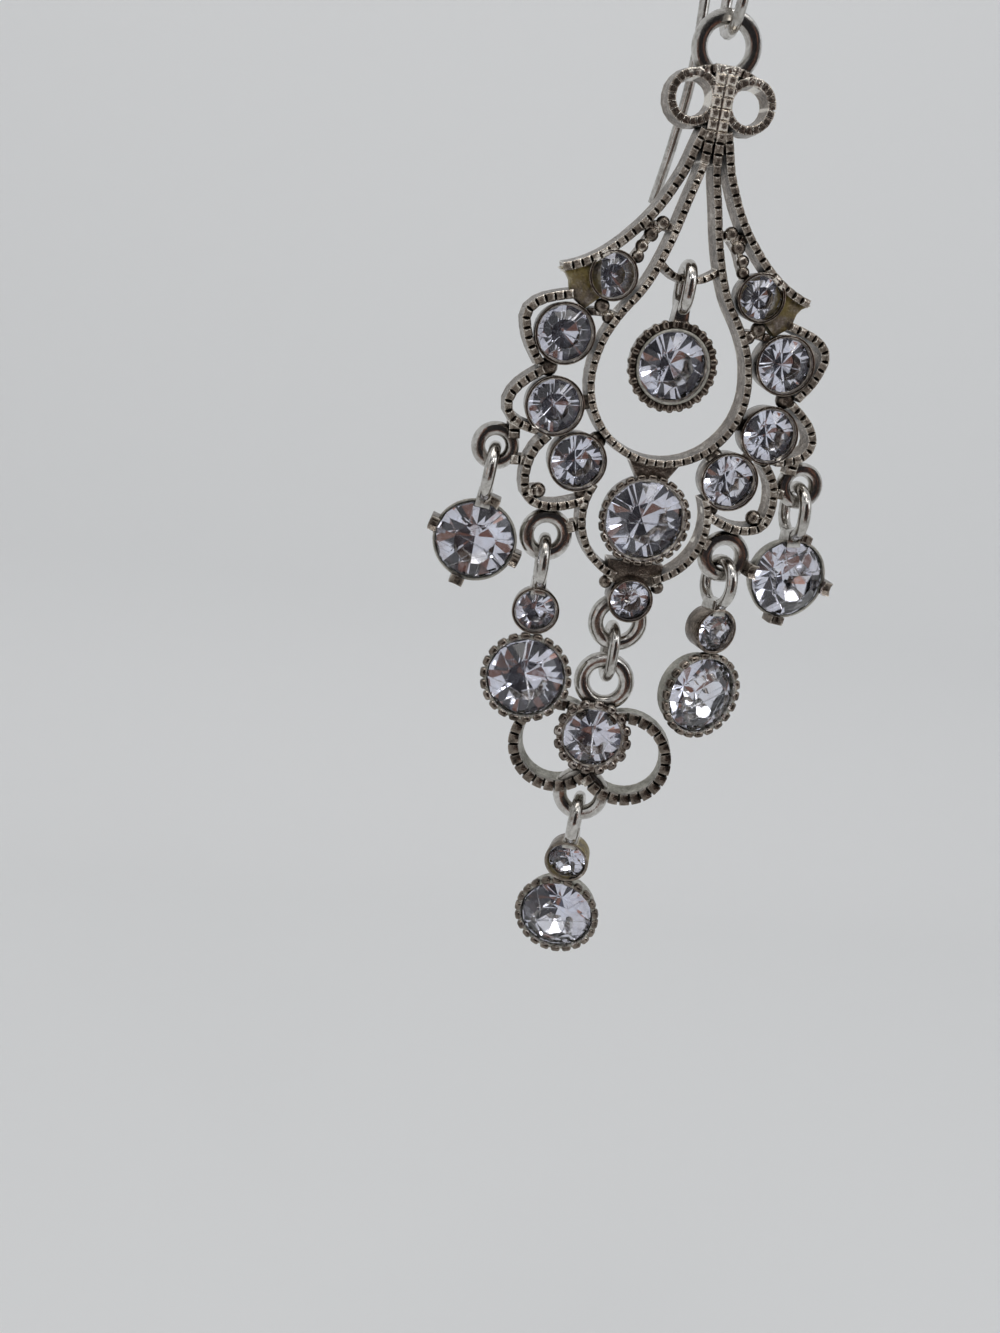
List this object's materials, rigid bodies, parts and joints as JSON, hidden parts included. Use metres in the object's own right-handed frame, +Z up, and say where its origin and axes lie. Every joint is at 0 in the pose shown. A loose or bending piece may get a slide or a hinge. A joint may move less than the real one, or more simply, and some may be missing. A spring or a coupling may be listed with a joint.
{
  "type": "chandelier earring",
  "caption": "Chandelier earring: a hook wire carries a silver-tone teardrop filigree frame set with clear round crystals, a ringed heart piece and swinging crystal drops.",
  "frame": {"origin": "top of the ear wire's arch on its inner side, where it sits in the ear", "axes": "+Z up along the hanging length, -Y towards the front face of the frame, +X to the right as seen from the front"},
  "size_m": [0.0279, 0.013, 0.0769],
  "materials": {
    "cast_metal": "antiqued silver-tone casting, notched and oxidised dark in the recesses",
    "polished_metal": "polished silver-tone wire",
    "crystal": "faceted clear foil-backed crystal"
  },
  "bodies": {
    "ear_wire": {"ear_wire": "polished_metal"},
    "chandelier": {"frame": "cast_metal", "side_stone_1_left": "crystal", "side_stone_2_left": "crystal", "side_stone_3_left": "crystal", "side_stone_4_left": "crystal", "side_stone_1_right": "crystal", "side_stone_2_right": "crystal", "side_stone_3_right": "crystal", "side_stone_4_right": "crystal", "centre_stone": "crystal", "foot_stone": "crystal", "teardrop_pendant": "cast_metal", "teardrop_stone": "crystal", "centre_link": "polished_metal", "heart_piece": "cast_metal", "heart_stone": "crystal", "bottom_drop": "cast_metal", "bottom_drop_small_stone": "crystal", "bottom_drop_large_stone": "crystal", "outer_drop_left": "cast_metal", "outer_drop_left_stone": "crystal", "outer_drop_right": "cast_metal", "outer_drop_right_stone": "crystal", "inner_drop_left": "cast_metal", "inner_drop_left_small_stone": "crystal", "inner_drop_left_large_stone": "crystal", "inner_drop_right": "cast_metal", "inner_drop_right_small_stone": "crystal", "inner_drop_right_large_stone": "crystal"}
  },
  "joints": [
    {"name": "chandelier_swing", "type": "hinge", "parent": "ear_wire", "child": "chandelier", "pos_m": [0, -0.0031, -0.01247], "axis": [1, 0, 0], "range_deg": [-35, 35]}
  ]
}
